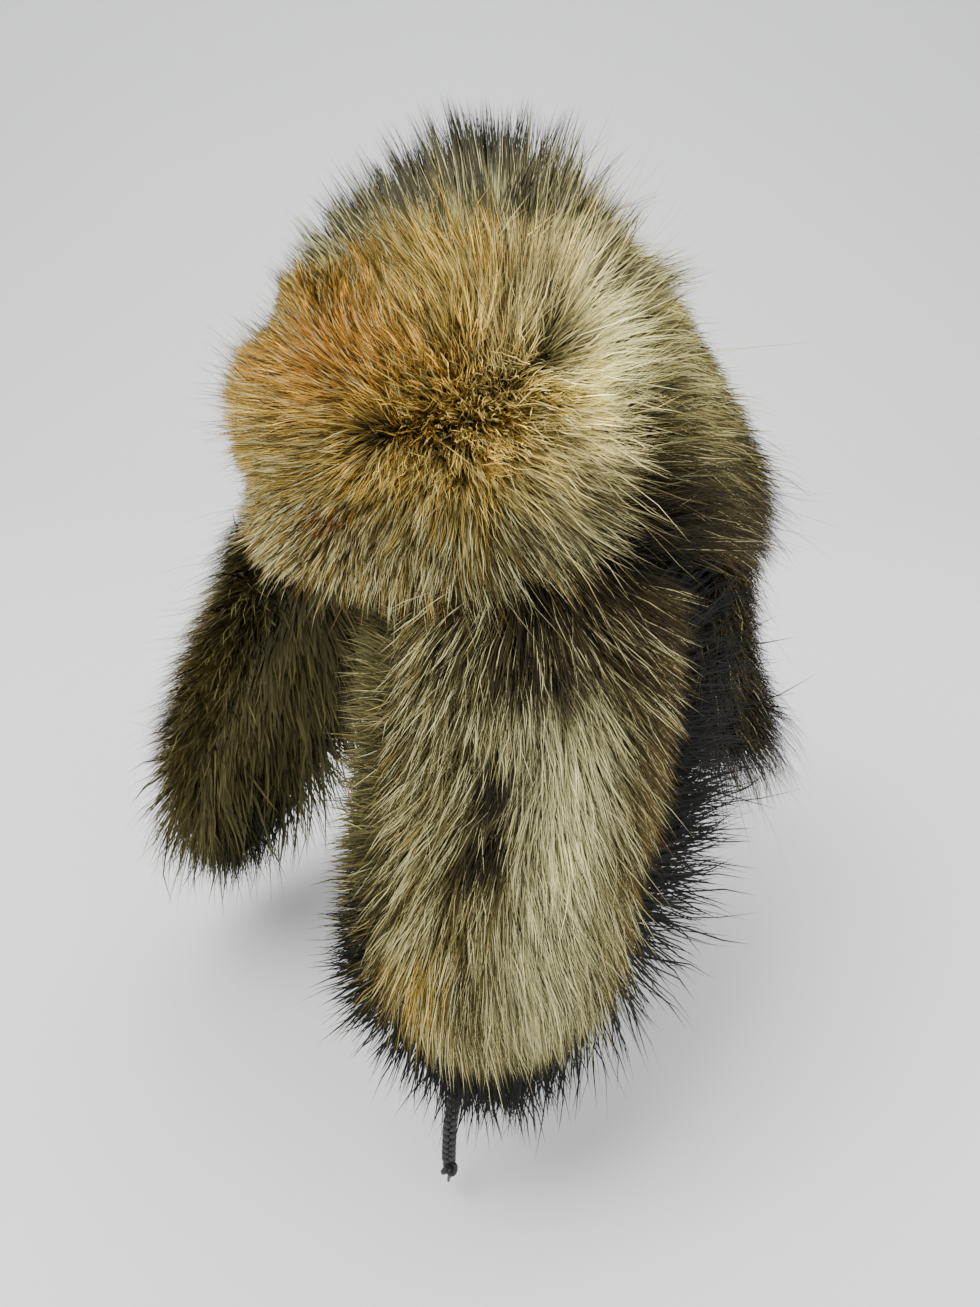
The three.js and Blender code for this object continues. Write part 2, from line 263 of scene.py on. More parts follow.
def skin_at(part, a, b, outside):
    """Points on a skin, its outward normals, and its area for each step, from small steps both ways."""
    skin, h = part["skin"], 1e-3
    along_a = skin(a + h, b, outside) - skin(a - h, b, outside)
    along_b = skin(a, b + h, outside) - skin(a, b - h, outside)
    normal = part["facing"] * np.cross(along_a, along_b)
    return skin(a, b, outside), unit(normal), np.linalg.norm(normal, axis=-1)


def scatter(part, count, outside, thickness, rng, draws):
    """Hair roots: random coordinates kept by the skin's area there and by how thickly it is furred."""
    a, b = (rng.uniform(part["low"][i], part["high"][i], count * draws) for i in (0, 1))
    points, normals, area = skin_at(part, a, b, outside)
    odds = area * thickness(a, b)
    if part["square"]:
        odds = np.where(np.abs(a) ** part["square"] + np.abs(b) ** part["square"] <= 1, odds, 0)
    kept = rng.choice(len(a), count, replace=False, p=odds / odds.sum())
    return a[kept], b[kept], points[kept], normals[kept]


def nearest(points, centres):
    """The nearest centre to each point, from squared distances worked out in blocks."""
    found = np.empty(len(points), dtype=int)
    squares = (centres**2).sum(axis=1)
    for start in range(0, len(points), 4096):
        block = points[start : start + 4096]
        found[start : start + 4096] = np.argmin(squares - 2 * block @ centres.T, axis=1)
    return found


def hair_paths(roots, normals, comb, layer, length, rng):
    """Each hair leaves the skin at the rise angle and bends to the fall angle along the comb, with a light
    wave; the shorter the comb's arrow, the nearer both come to upright. Hairs of one lock lean towards
    their lock's middle hair, more so at their tips."""
    count, stops = len(roots), np.array(layer["stops"])
    lean = np.clip(np.linalg.norm(comb, axis=1), 0, 1)
    comb = unit(comb)
    side = unit(np.cross(comb, normals))
    turn = rng.normal(0, layer["stray"], count) + (1 - lean) * rng.normal(0, 0.9, count)
    comb = unit(comb * np.cos(turn)[:, None] + side * np.sin(turn)[:, None])
    side = unit(np.cross(comb, normals))
    upright = math.pi / 2
    rise = upright - (upright - math.radians(layer["rise"])) * lean + rng.normal(0, layer["spread"], count)
    fall = upright - (upright - math.radians(layer["fall"])) * lean + rng.normal(0, layer["stray"], count)
    phase = rng.uniform(0, 2 * math.pi, count)
    wave = layer["wave"] * rng.uniform(0.3, 1, count)
    paths = [roots]
    for start, stop in zip(stops[:-1], stops[1:]):
        t = (start + stop) / 2
        angle = rise + (fall - rise) * t**0.8
        way = normals * np.sin(angle)[:, None] + comb * np.cos(angle)[:, None]
        way = way + side * (wave * np.cos(2.6 * math.pi * t + phase))[:, None]
        way[:, 2] -= layer["sag"] * t
        paths.append(paths[-1] + unit(way) * (length * (stop - start))[:, None])
    paths = np.stack(paths, axis=1)
    centres = np.arange(min(layer["locks"], count))
    own = nearest(roots, roots[centres])
    pull = layer["pull"] * rng.uniform(0.5, 1, count)
    share = (stops**1.3)[None, :] * pull[:, None]
    paths = paths + (paths[own] - paths) * share[..., None]
    move = paths - roots[:, None]
    space = np.where(move > 0, ROOM_HIGH - roots[:, None], roots[:, None] - ROOM_LOW)
    fits = (space / np.maximum(np.abs(move), 1e-9)).min(axis=(1, 2))
    fits = np.where(fits < 1, fits * rng.uniform(0.75, 1, count), 1)
    return roots[:, None] + move * fits[:, None, None], side, own


def ribbon_mesh(name, strands):
    """One mesh of tapered ribbons. Each hair has two points a step and one at its tip; its normals lie
    between the ribbon's own and the pelt's."""
    points, normals, colours, corners, starts = [], [], [], [], []
    first = corner = 0
    for paths, side, out, width, roll, tint in strands:
        count, steps = paths.shape[0], paths.shape[1] - 1
        way = unit(np.diff(paths, axis=1))
        turn, side = roll[:, None, None], side[:, None]
        across = side * np.cos(turn) + np.cross(side, way) * np.sin(turn)
        face = np.cross(across, way)
        flip = np.sign((face * out[:, None]).sum(axis=(1, 2)))[:, None, None]
        across, face = across * flip, face * flip
        t = np.arange(steps) / steps
        half = 0.5 * width[:, None] * (1 - t)[None] ** 0.5
        reach = across * half[..., None]
        rows = np.stack([paths[:, :-1] - reach, paths[:, :-1] + reach], axis=2)
        rows = rows.reshape(count, 2 * steps, 3)
        points.append(np.concatenate([rows, paths[:, -1:]], axis=1).reshape(-1, 3))
        shade = unit(face * 0.75 + out[:, None])
        shade = np.concatenate([np.repeat(shade, 2, axis=1), shade[:, -1:]], axis=1)
        normals.append(shade.reshape(-1, 3))
        tint = np.concatenate([np.repeat(tint[:, :-1], 2, axis=1), tint[:, -1:]], axis=1)
        colours.append(tint.reshape(-1, 3))
        k = np.arange(steps - 1)[:, None] * 2
        quads = (k + np.array([0, 1, 3, 2])).ravel()
        pattern = np.concatenate([quads, [2 * steps - 2, 2 * steps - 1, 2 * steps]])
        base = first + np.arange(count)[:, None] * (2 * steps + 1)
        corners.append((base + pattern[None]).ravel())
        begin = np.arange(steps) * 4
        starts.append((corner + np.arange(count)[:, None] * len(pattern) + begin[None]).ravel())
        first += count * (2 * steps + 1)
        corner += count * len(pattern)
    points, corners, starts = np.concatenate(points), np.concatenate(corners), np.concatenate(starts)
    mesh = bpy.data.meshes.new(name)
    mesh.vertices.add(len(points))
    mesh.vertices.foreach_set("co", points.astype(np.float32).ravel())
    mesh.loops.add(len(corners))
    mesh.loops.foreach_set("vertex_index", corners.astype(np.int32))
    mesh.polygons.add(len(starts))
    mesh.polygons.foreach_set("loop_start", starts.astype(np.int32))
    mesh.update(calc_edges=True)
    mesh.shade_smooth()
    tint = mesh.color_attributes.new(name="hair", type="FLOAT_COLOR", domain="POINT")
    tints = np.concatenate(colours) * HAIR_BALANCE
    tints = np.concatenate([tints, np.ones((len(tints), 1))], axis=1)
    tint.data.foreach_set("color", tints.astype(np.float32).ravel())
    mesh.normals_split_custom_set_from_vertices(np.concatenate(normals))
    piece = bpy.data.objects.new(name, mesh)
    bpy.context.scene.collection.objects.link(piece)
    return piece


# Each layer of a pelt. stops are the shares of a hair's length where it bends; length and width are its
# size, as a share of the pelt's hair and in metres. rise and fall are degrees from the skin at the root
# and the tip, and spread is how much the rise varies; stray is how far hairs turn from the comb; wave and
# sag bend them; locks is how many tufts, and pull how tight they are; draws is how many places are tried
# for each root.
LAYERS = {
    "under": {
        "stops": (0, 0.5, 1), "length": 0.64, "vary": 0.22, "width": 0.00105, "rise": 66, "fall": 44,
        "spread": 0.20, "stray": 0.34, "wave": 0.10, "sag": 0.05, "locks": 1500, "pull": 0.35, "draws": 5,
    },
    "guard": {
        "stops": (0, 0.36, 0.72, 1), "length": 1.0, "vary": 0.17, "width": 0.00043, "rise": 58, "fall": 30,
        "spread": 0.14, "stray": 0.22, "wave": 0.16, "sag": 0.10, "locks": 1300, "pull": 0.55, "draws": 5,
    },
    "rim": {
        "stops": (0, 0.36, 0.72, 1), "length": 0.92, "vary": 0.2, "width": 0.0005, "rise": 16, "fall": 4,
        "spread": 0.45, "stray": 0.30, "wave": 0.18, "sag": 0.14, "locks": 400, "pull": 0.25, "draws": 60,
    },
    "ridge": {
        "stops": (0, 0.28, 0.46, 0.6, 1), "length": 1.0, "vary": 0.16, "width": 0.00095, "rise": 74,
        "fall": 66, "spread": 0.14, "stray": 0.20, "wave": 0.12, "sag": 0.0, "locks": 300, "pull": 0.75,
        "draws": 60,
    },
    "flying": {
        "stops": (0, 0.25, 0.5, 0.75, 1), "length": 1.28, "vary": 0.14, "width": 0.00034, "rise": 60,
        "fall": 42, "spread": 0.18, "stray": 0.26, "wave": 0.14, "sag": 0.08, "locks": 10**6, "pull": 0.0,
        "draws": 5,
    },
}

# How many hairs the layers have whose number isn't a setting
UNDER_HAIRS = {"crown": 18000, "peak": 20000, "ear": 9000, "neck": 9000}
EDGE_HAIRS = {"peak": 2600, "ear": 2200, "lining": 7500, "neck": 2000}
FLYING_HAIRS = {"crown": 900, "peak": 2600, "ear": 400, "neck": 400}
RIDGE_HAIRS = 7600

# Edge hairs grow past this share of a panel's outline
EDGE_SHARE = 0.95


def banded(t, stops, colours):
    """Colour along a hair: straight-line mixes between the colours at the stops, one row a hair."""
    place = np.interp(t, stops, np.arange(len(stops)))
    low = np.clip(place.astype(int), 0, len(stops) - 2)
    share = (place - low)[None, :, None]
    return colours[:, low] * (1 - share) + colours[:, low + 1] * share


def patched(base, across, along, patches, seed):
    """Base colour with soft oval patches laid over it, their edges broken up by noise."""
    spots = np.stack([across, along, 0 * across], axis=-1)
    ragged = 0.35 * drift(spots, 0.35, seed) + 0.2 * drift(spots, 0.12, seed + 1)
    for patch in patches:
        aside = (across - patch["across"]) / patch["wide"]
        above = (along - patch["along"]) / patch["high"]
        amount = patch["amount"] * np.exp(-(aside**2 + above**2) * (1 + ragged))
        base = blend(base, patch["colour"], np.clip(amount, 0, 1))
    return base


def rim_only(part, from_share):
    """Keeps roots near a panel's outline: 1 between a share of the outline and the outline, else 0."""
    power = part["square"]

    def thickness(a, b):
        share = (np.abs(a) ** power + np.abs(b) ** power) ** (1 / power)
        return np.where((share > from_share) & (b > part["rim_from"]), 1.0, 0.0)

    return thickness


def skin_way(skin, a, b, away):
    """The way along a skin of a small move in its coordinates: the moved point less the point."""
    return unit(skin(a + away[:, 0] * COMB_STEP, b + away[:, 1] * COMB_STEP, 0.0) - skin(a, b, 0.0))


def outline_way(skin, a, b):
    """Straight out past a panel's outline: along the cubes of the coordinates."""
    away = unit(np.stack([np.sign(a) * np.abs(a) ** 3, np.sign(b) * np.abs(b) ** 3], axis=-1))
    return skin_way(skin, a, b, away)


def even(a, b):
    """The same thickness everywhere."""
    return np.ones_like(a)


def grow_pelt(name, part_name, layers, length, comb, paint, rng, outside, thickness=even, mirrored=False):
    """A pelt's hairs, layer by layer: scatter the roots, comb them, paint them and join them in one mesh."""
    part = PARTS[part_name]
    strands = []
    for kind, count, changes in layers:
        layer = {**LAYERS[kind], **changes}
        density = rim_only(part, EDGE_SHARE) if kind == "rim" else thickness
        a, b, roots, normals = scatter(part, count, outside, density, rng, layer["draws"])
        if kind == "rim":
            roots = roots - normals * rng.uniform(0, FLAP_WALL, (count, 1))
            way = outline_way(part["skin"], a, b)
        else:
            way = comb(a, b, roots, normals)
        way = way - normals * (way * normals).sum(axis=1, keepdims=True)
        long = length(a, b, roots) * layer["length"] * np.clip(rng.normal(1, layer["vary"], count), 0.45, 1.5)
        paths, side, own = hair_paths(roots, normals, way, layer, long, rng)
        tint = paint(kind, a, b, roots, paths, own, np.array(layer["stops"]), rng)
        if mirrored:
            flip = np.array([-1.0, 1.0, 1.0])
            paths, side, normals = paths * flip, side * flip, normals * flip
        width = layer["width"] * rng.uniform(0.7, 1.3, count)
        strands.append((paths, side, normals, width, rng.uniform(-1.0, 1.0, count), tint))
    return ribbon_mesh(name, strands)


def agouti(kind, body, dark, pale, own, t, rng, root=0.04):
    """Banded coyote hair: dark root, coloured body, pale band and, on some hairs, a black tip.
    body is each hair's colour; dark and pale are the odds of a black tip and of a white band; root is
    the root's brightness as a share of the body's."""
    count = len(body)
    lock = rng.normal(0, 0.28, own.max() + 1)[own]
    bright = np.clip(body.mean(axis=1) / 0.12, 0, 1)
    body = body * np.exp(rng.normal(0, 0.40, count) + lock)[:, None]
    shaft = rng.random(count) < 0.20 + 0.4 * dark
    body = np.where(shaft[:, None], body * 0.15, body)
    tipped = rng.random(count) < dark
    white = rng.random(count) < pale * bright
    band = blend(body, CREAM, np.where(white, 0.8, 0.015))
    base = np.broadcast_to(root, count)[:, None] * body
    if kind == "under":
        return banded(t, [0, 0.5, 1], np.stack([base, base + body * 0.25, body * 0.62], axis=1))
    tip = blend(band, BLACK, np.where(tipped, 0.97, 0.05))
    upper = blend(band, BLACK, np.where(tipped, 0.35, 0.0))
    if kind == "ridge":
        middle = blend(body, CREAM, 0.85 * np.clip(1.6 * pale, 0, 1))
        colours = [base, body * 0.4, middle, blend(middle, BLACK, np.where(tipped, 0.88, 0.15)), tip]
        return banded(t, [0, 0.28, 0.46, 0.6, 1], np.stack(colours, axis=1))
    return banded(t, [0, 0.36, 0.72, 1], np.stack([base, base + body * 0.36, upper, tip], axis=1))


# Patches of colour and of painted shade, as seen on each pelt. across and along are the part's coordinates.
PEAK_PATCHES = [
    {"across": -0.60, "along": 0.30, "wide": 0.45, "high": 0.90, "colour": GOLD * 0.75, "amount": 0.7},
    {"across": 0.05, "along": 0.05, "wide": 0.30, "high": 0.45, "colour": PALE_GOLD, "amount": 0.5},
    {"across": 0.25, "along": 0.60, "wide": 0.36, "high": 0.42, "colour": ORANGE, "amount": 0.95},
    {"across": 0.60, "along": 0.95, "wide": 0.26, "high": 0.34, "colour": PALE_GOLD, "amount": 0.7},
    {"across": 0.72, "along": 0.10, "wide": 0.34, "high": 0.36, "colour": OLIVE, "amount": 0.6},
    {"across": 0.60, "along": -0.80, "wide": 0.60, "high": 0.42, "colour": OLIVE, "amount": 0.85},
    # Painted shade in the hollow at the peak's low left corner, above the left ear flap.
    {"across": 1.00, "along": -0.70, "wide": 0.25, "high": 0.50, "colour": UMBER * 0.5, "amount": 0.95},
    {"across": 1.08, "along": 0.42, "wide": 0.24, "high": 0.75, "colour": CREAM * 1.5, "amount": 1.0},
    {"across": 0.25, "along": -0.68, "wide": 0.08, "high": 0.12, "colour": DEEP_ORANGE, "amount": 0.9},
]
PEAK_PITS = [
    {"across": 0.40, "along": -0.04, "wide": 0.055, "high": 0.10},
    {"across": 0.88, "along": 0.32, "wide": 0.034, "high": 0.06},
]
EAR_PATCHES = [
    {"across": -0.25, "along": -0.38, "wide": 0.26, "high": 0.18, "colour": CREAM, "amount": 0.7},
    {"across": 0.15, "along": 0.00, "wide": 0.28, "high": 0.40, "colour": CREAM * 1.6, "amount": 1.0},
    {"across": 0.10, "along": 0.62, "wide": 0.32, "high": 0.42, "colour": CREAM, "amount": 0.5},
    {"across": -0.48, "along": -0.24, "wide": 0.24, "high": 0.14, "colour": UMBER * 0.2, "amount": 1.2},
    {"across": -0.51, "along": 0.03, "wide": 0.24, "high": 0.15, "colour": UMBER * 0.2, "amount": 1.2},
    {"across": -0.15, "along": -0.62, "wide": 0.40, "high": 0.13, "colour": UMBER * 0.4, "amount": 0.95},
    {"across": -0.95, "along": 0.58, "wide": 0.20, "high": 0.18, "colour": GOLD, "amount": 0.7},
    {"across": 0.95, "along": -0.55, "wide": 0.62, "high": 0.75, "colour": BROWN * 0.4, "amount": 1.0},
    {"across": 0.95, "along": 0.30, "wide": 0.30, "high": 0.90, "colour": BROWN * 0.8, "amount": 0.8},
    # Painted shade along the flap's top, below the peak and the crown.
    {"across": -0.10, "along": -0.95, "wide": 1.30, "high": 0.40, "colour": UMBER * 0.7, "amount": 0.95},
]
FAR_EAR_PATCHES = [
    {"across": -0.90, "along": -0.20, "wide": 0.40, "high": 0.40, "colour": PALE_GOLD, "amount": 0.4},
    {"across": -0.60, "along": 0.10, "wide": 0.30, "high": 0.22, "colour": UMBER, "amount": 0.6},
    {"across": -0.80, "along": 0.75, "wide": 0.60, "high": 0.30, "colour": GOLD, "amount": 0.5},
    {"across": 0.60, "along": 0.20, "wide": 0.50, "high": 0.60, "colour": BROWN, "amount": 0.5},
]


def near_pit(pit, across, along, size=1.0):
    """How near a spot is to a parting, from 0 to 1: a bell curve as wide and high as the parting."""
    aside = (across - pit["across"]) / (size * pit["wide"])
    above = (along - pit["along"]) / (size * pit["high"])
    return np.exp(-(aside**2 + above**2))


def pit_amount(across, along):
    """How near a spot is to the nearest of the partings in the peak's fur, from 0 to 1."""
    return np.maximum.reduce([near_pit(pit, across, along) for pit in PEAK_PITS])


def mottled(body, roots, amount, seed):
    """Body colour with soft darker and lighter clouds a few centimetres across."""
    clouds = drift(roots, 0.05, seed) * 0.6 + drift(roots, 0.018, seed + 1) * 0.4
    return body * (1 + amount * clouds)[:, None]


def paint_peak(kind, a, b, roots, paths, own, t, rng):
    """Peak: gold and orange above, olive below, cream at the left temple, and painted shade in the partings.
    """
    across, along = peak_coordinates(paths[:, -2])
    body = patched(np.tile(GOLD, (len(a), 1)), across, along, PEAK_PATCHES, 11)
    body = mottled(body, paths[:, -2], 0.3, 12)
    # Painted shade: the partings are darkened to umber.
    body = blend(body, UMBER * 0.35, 0.9 * pit_amount(a, b))
    middle = np.exp(-(((a - 0.66) / 0.3) ** 2) - ((b + 0.05) / 0.4) ** 2)
    body = blend(body, blend(GOLD, GREY_TAN, np.array(0.6)), 0.7 * middle) * (0.88 + 1.5 * middle)[:, None]
    low = step_up(-b, 0.0, 0.9)
    body = body * (1 - 0.35 * low)[:, None]
    cream = step_up(a, 0.8, 1.0) * step_up(b, -0.35, 0.1)
    body = body * (1 + 0.7 * cream)[:, None]
    dark = (0.20 + 0.16 * low + 0.25 * step_up(b, 0.6, 1.0)) * (1 - 0.75 * cream)
    pale = 0.12 + 0.28 * low + 0.75 * cream
    if kind == "flying":
        dark = dark + 0.7
    return agouti(kind, body, dark, pale, own, t, rng, 0.05 + 0.5 * middle)


def paint_crown(kind, a, b, roots, paths, own, t, rng):
    """Crown: grey-tan hair and a black-tipped white-banded ridge behind the peak, with painted shade: brown
    low down and in the hollows by the ears.
    """
    body = mottled(np.tile(blend(BROWN, GREY_TAN, np.array(0.75)) * 1.45, (len(a), 1)), roots, 0.45, 21)
    ridge = step_up(-roots[:, 1], -0.02, 0.03) * step_up(roots[:, 2], -0.045, -0.01)
    low = step_up(-roots[:, 2], 0.05, 0.10)
    hollow_shade = np.exp(-(((roots[:, 1] + 0.035) / 0.040) ** 2) - ((roots[:, 2] + 0.105) / 0.04) ** 2)
    # Painted shade: darker brown with more black tips low on the crown, and dark umber in the hollows by the
    # ears.
    body = blend(body, BROWN * 0.55, 0.9 * low)
    body = blend(body, UMBER * 0.3, 0.95 * hollow_shade)
    behind = step_up(roots[:, 1], 0.01, 0.06) * step_up(-roots[:, 2], 0.01, 0.05)
    crest = np.exp(-(((roots[:, 0] + 0.003) / 0.013) ** 4) - ((roots[:, 1] + 0.006) / 0.013) ** 4)
    body = blend(body, BLACK, crest)
    dark = 0.42 + 0.5 * ridge + 0.2 * low + 0.3 * behind + crest
    body = body * (1 - 0.1 * behind)[:, None]
    pale = (0.25 + 0.4 * ridge - 0.15 * low) * (1 - crest)
    return agouti(kind, body, dark, pale, own, t, rng)


def paint_neck(kind, a, b, roots, paths, own, t, rng):
    """Neck flap: brown and grey-tan hair, darkened as painted shade, that darkens further to long black tips
    at its lower edge.
    """
    # Painted shade: the whole flap's brown is set darker than the crown's.
    body = mottled(np.tile(BROWN * 0.8, (len(a), 1)), roots, 0.4, 31)
    low = step_up(b, 0.0, 0.95)
    body = blend(body, UMBER * 0.5, 0.75 * low)
    return agouti(kind, body, 0.5 + 0.45 * low, 0.10 + 0 * a, own, t, rng)


def paint_ear(patches, seed, painted_shade_factor):
    """Ear flap: grey-tan hair with its own patches, and darker tips round its outline; its colours and pale
    bands are scaled by a factor of painted shade.
    """

    def paint(kind, a, b, roots, paths, own, t, rng):
        body = mottled(np.tile(blend(GREY_TAN, OLIVE, np.array(0.75)), (len(a), 1)), roots, 0.4, seed)
        body = patched(body * 0.6, *ear_coordinates(paths[:, -2]), patches, seed + 2) * painted_shade_factor
        edge = step_up(np.maximum(np.abs(a), b), 0.75, 1.0)
        return agouti(kind, body, 0.22 + 0.4 * edge, (0.36 - 0.25 * edge) * painted_shade_factor, own, t, rng)

    return paint


def paint_lining(start, end, lowest):
    """Lining: black fur that turns to olive and tan between two places ahead of its middle, down to a
    height."""

    def paint(kind, a, b, roots, paths, own, t, rng):
        brown = step_up(-a, start, end) * step_up(lowest + 0.25 - b, 0, 0.25)
        olive = mottled(np.tile(GREY_TAN * 0.26, (len(a), 1)), roots, 0.55, 51)
        body = blend(np.tile(COAL, (len(a), 1)), olive, brown)
        body = body * np.exp(rng.normal(0, 0.35, len(a)))[:, None]
        tip = blend(body, GREY_TAN * 0.8, 0.45 * brown * (rng.random(len(a)) < 0.4))
        return banded(t, [0, 0.5, 1], np.stack([body * 0.3, body, tip], axis=1))

    return paint


def comb_crown(a, b, roots, normals):
    """Back and down over the dome, but straight up behind the peak, with slow swirls."""
    down = unit(np.stack([roots[:, 0] * 4, 0.75 + 0 * a, -0.75 + 0 * a], axis=-1))
    ahead = step_up(-roots[:, 1], -0.025, 0.03)
    way = blend(down, np.array([0.0, 0.1, 0.4]), ahead)
    swirl = 0.35 * drift(roots, 0.09, 22)
    return way + np.cross(normals, way) * swirl[:, None]


def comb_from(skin, pole, swirl_seed, amount):
    """Away from a pole on a panel, with slow swirls."""

    def comb(a, b, roots, normals):
        way = skin_way(skin, a, b, unit(np.stack([a - pole[0], b - pole[1]], axis=-1)))
        swirl = amount * drift(roots, 0.07, swirl_seed)
        return way + np.cross(normals, way) * swirl[:, None]

    return comb


def comb_peak(a, b, roots, normals):
    """Away from a line across the peak's middle, upright near that line, and out of the partings."""
    start, end = np.array([0.36, -0.06]), np.array([0.92, 0.08])
    spot = np.stack([a, b], axis=-1)
    share = np.clip((spot - start) @ (end - start) / ((end - start) @ (end - start)), 0, 1)
    away = spot - start - share[:, None] * (end - start)
    far = np.linalg.norm(away, axis=1)
    way = skin_way(peak_skin, a, b, unit(away))
    swirl = 0.7 * drift(roots, 0.05, 13)
    way = (way + np.cross(normals, way) * swirl[:, None]) * (0.10 + 0.90 * step_up(far, 0.05, 0.65))[:, None]
    for pit in PEAK_PITS:
        centre = peak_skin(np.array([pit["across"]]), np.array([pit["along"]]), 0.0)
        way = way + unit(roots - centre) * (0.7 * near_pit(pit, a, b, 2.2))[:, None]
    return way


# Materials, written as expressions on sockets


class Value:
    """A shader socket that Python expressions combine into Math and Vector Math nodes."""

    def __init__(self, tree, socket):
        self.tree = tree
        self.socket = socket

    def node(self, kind, inputs, output=0, **settings):
        """Any other node: its settings by name, its inputs by name or number, and one of its outputs."""
        made = self.tree.nodes.new(kind)
        for key, value in settings.items():
            setattr(made, key, value)
        for key, value in inputs.items():
            plug(self.tree, made.inputs[key], value)
        return Value(self.tree, made.outputs[output])

    def combine(self, operation, first, second):
        """A Math node, or a Vector Math node where either side is a vector or a colour."""
        values = [v.socket for v in (first, second) if isinstance(v, Value)]
        wide = any(s.type in {"VECTOR", "RGBA"} for s in values)
        kind = "ShaderNodeVectorMath" if wide else "ShaderNodeMath"
        return self.node(kind, {0: first, 1: second}, operation=operation)

    def __add__(self, other):
        return self.combine("ADD", self, other)

    def __sub__(self, other):
        return self.combine("SUBTRACT", self, other)

    def __mul__(self, other):
        return self.combine("MULTIPLY", self, other)

    def __truediv__(self, other):
        return self.combine("DIVIDE", self, other)

    def __radd__(self, other):
        return self.combine("ADD", other, self)

    def __rsub__(self, other):
        return self.combine("SUBTRACT", other, self)

    def __rmul__(self, other):
        return self.combine("MULTIPLY", other, self)

    def __rtruediv__(self, other):
        return self.combine("DIVIDE", other, self)

    def noise(self, scale, detail=3.0, roughness=0.55):
        """Soft noise at this place."""
        inputs = {"Vector": self, "Scale": scale, "Detail": detail, "Roughness": roughness}
        return self.node("ShaderNodeTexNoise", inputs, "Fac")

    def cells(self, scale):
        """Distance to the middle of the nearest random cell."""
        return self.node("ShaderNodeTexVoronoi", {"Vector": self, "Scale": scale}, "Distance", feature="F1")

    def mix(self, first, second):
        """Colour mix from first to second by this value."""
        inputs = {0: self, 6: first, 7: second}
        return self.node("ShaderNodeMix", inputs, 2, data_type="RGBA")

    def bump(self, strength, distance):
        """A normal that this height tilts."""
        return self.node("ShaderNodeBump", {"Height": self, "Strength": strength, "Distance": distance})


def plug(tree, socket, value):
    """Links a value to a socket, or sets the socket to plain numbers."""
    if isinstance(value, Value):
        tree.links.new(value.socket, socket)
    elif socket.type == "RGBA":
        socket.default_value = (*(float(v) for v in value[:3]), 1.0)
    elif socket.type == "VECTOR":
        socket.default_value = [float(v) for v in value] if np.ndim(value) else [float(value)] * 3
    else:
        socket.default_value = float(value)


def new_material(name, shade, **fixed):
    """A Principled material. shade(place) gives its varying inputs from the object's coordinates."""
    material = bpy.data.materials.new(name)
    material.use_nodes = True
    tree = material.node_tree
    shader = tree.nodes["Principled BSDF"]
    place = Value(tree, tree.nodes.new("ShaderNodeTexCoord").outputs["Object"])
    for key, value in {**fixed, **shade(place)}.items():
        plug(tree, shader.inputs[key], value)
    return material


def fur_material(name):
    """Each hair's own colour, a little lighter and darker along it."""

    def shade(place):
        tint = place.node("ShaderNodeAttribute", {}, "Color", attribute_name="hair")
        fine = place.noise(900.0, 2.0)
        return {"Base Color": tint * (fine * 0.5 + 0.75), "Roughness": fine * 0.25 + 0.42}

    return new_material(name, shade, **{"Specular IOR Level": 0.16})


def leather_material():
    """Dark brown leather: soft creases and a fine grain."""

    def shade(place):
        grain = place.cells(700.0)
        crease = place.noise(60.0, 4.0)
        colour = crease.mix(tone(34, 27, 22), tone(58, 46, 37))
        return {
            "Base Color": colour,
            "Roughness": crease * 0.25 + 0.5,
            "Normal": (grain * 0.6 + crease).bump(0.35, 0.0006),
        }

    return new_material("leather", shade)


def lace_material():
    """Black lace with fine fibres."""

    def shade(place):
        fibre = place.noise(1500.0, 2.0)
        return {
            "Base Color": fibre.mix(tone(8, 8, 9), tone(28, 28, 31)),
            "Roughness": fibre * 0.2 + 0.38,
            "Normal": fibre.bump(0.3, 0.0002),
        }

    return new_material("lace", shade, **{"Coat Weight": 0.06, "Coat Roughness": 0.3})


def backdrop_material():
    """Pale paper, painted greyer higher up as painted shade."""

    def shade(place):
        cloud = place.noise(1.3, 2.0)
        height = place.node("ShaderNodeSeparateXYZ", {0: place}, "Z")
        # Painted shade: near white at the floor, turning grey high on the wall.
        far = place.node("ShaderNodeClamp", {0: height * 0.55 + (cloud * 0.06 + 0.17)})
        colour = far.mix(tone(250, 250, 249), tone(180, 182, 184))
        return {"Base Color": colour, "Roughness": cloud * 0.1 + 0.75}

    return new_material("backdrop", shade)


# Tie


def tie_points():
    """The tie's route: the sewn point at the left flap's edge, and each row of the table below it."""
    sewn = ear_skin(np.array([-0.5]), np.array([0.985]), FLAP_WALL / 2)[0]
    moves = np.array([[-row["in"], -row["ahead"], -row["drop"]] for row in TIE_ROUTE]) / 1000
    return sewn + moves - [0, 0, SEAM_GAP]


def smooth_route(points, count):
    """A smooth curve through the points: Catmull-Rom pieces, evenly cut."""
    padded = np.vstack([2 * points[0] - points[1], points, 2 * points[-1] - points[-2]])
    place = np.linspace(0, len(points) - 1 - 1e-9, count)
    i, t = place.astype(int), (place % 1)[:, None]
    a, b, c, d = (padded[i + k] for k in range(4))
    return 0.5 * (2 * b + (c - a) * t + (2 * a - 5 * b + 4 * c - d) * t**2 + (3 * b - a - 3 * c + d) * t**3)


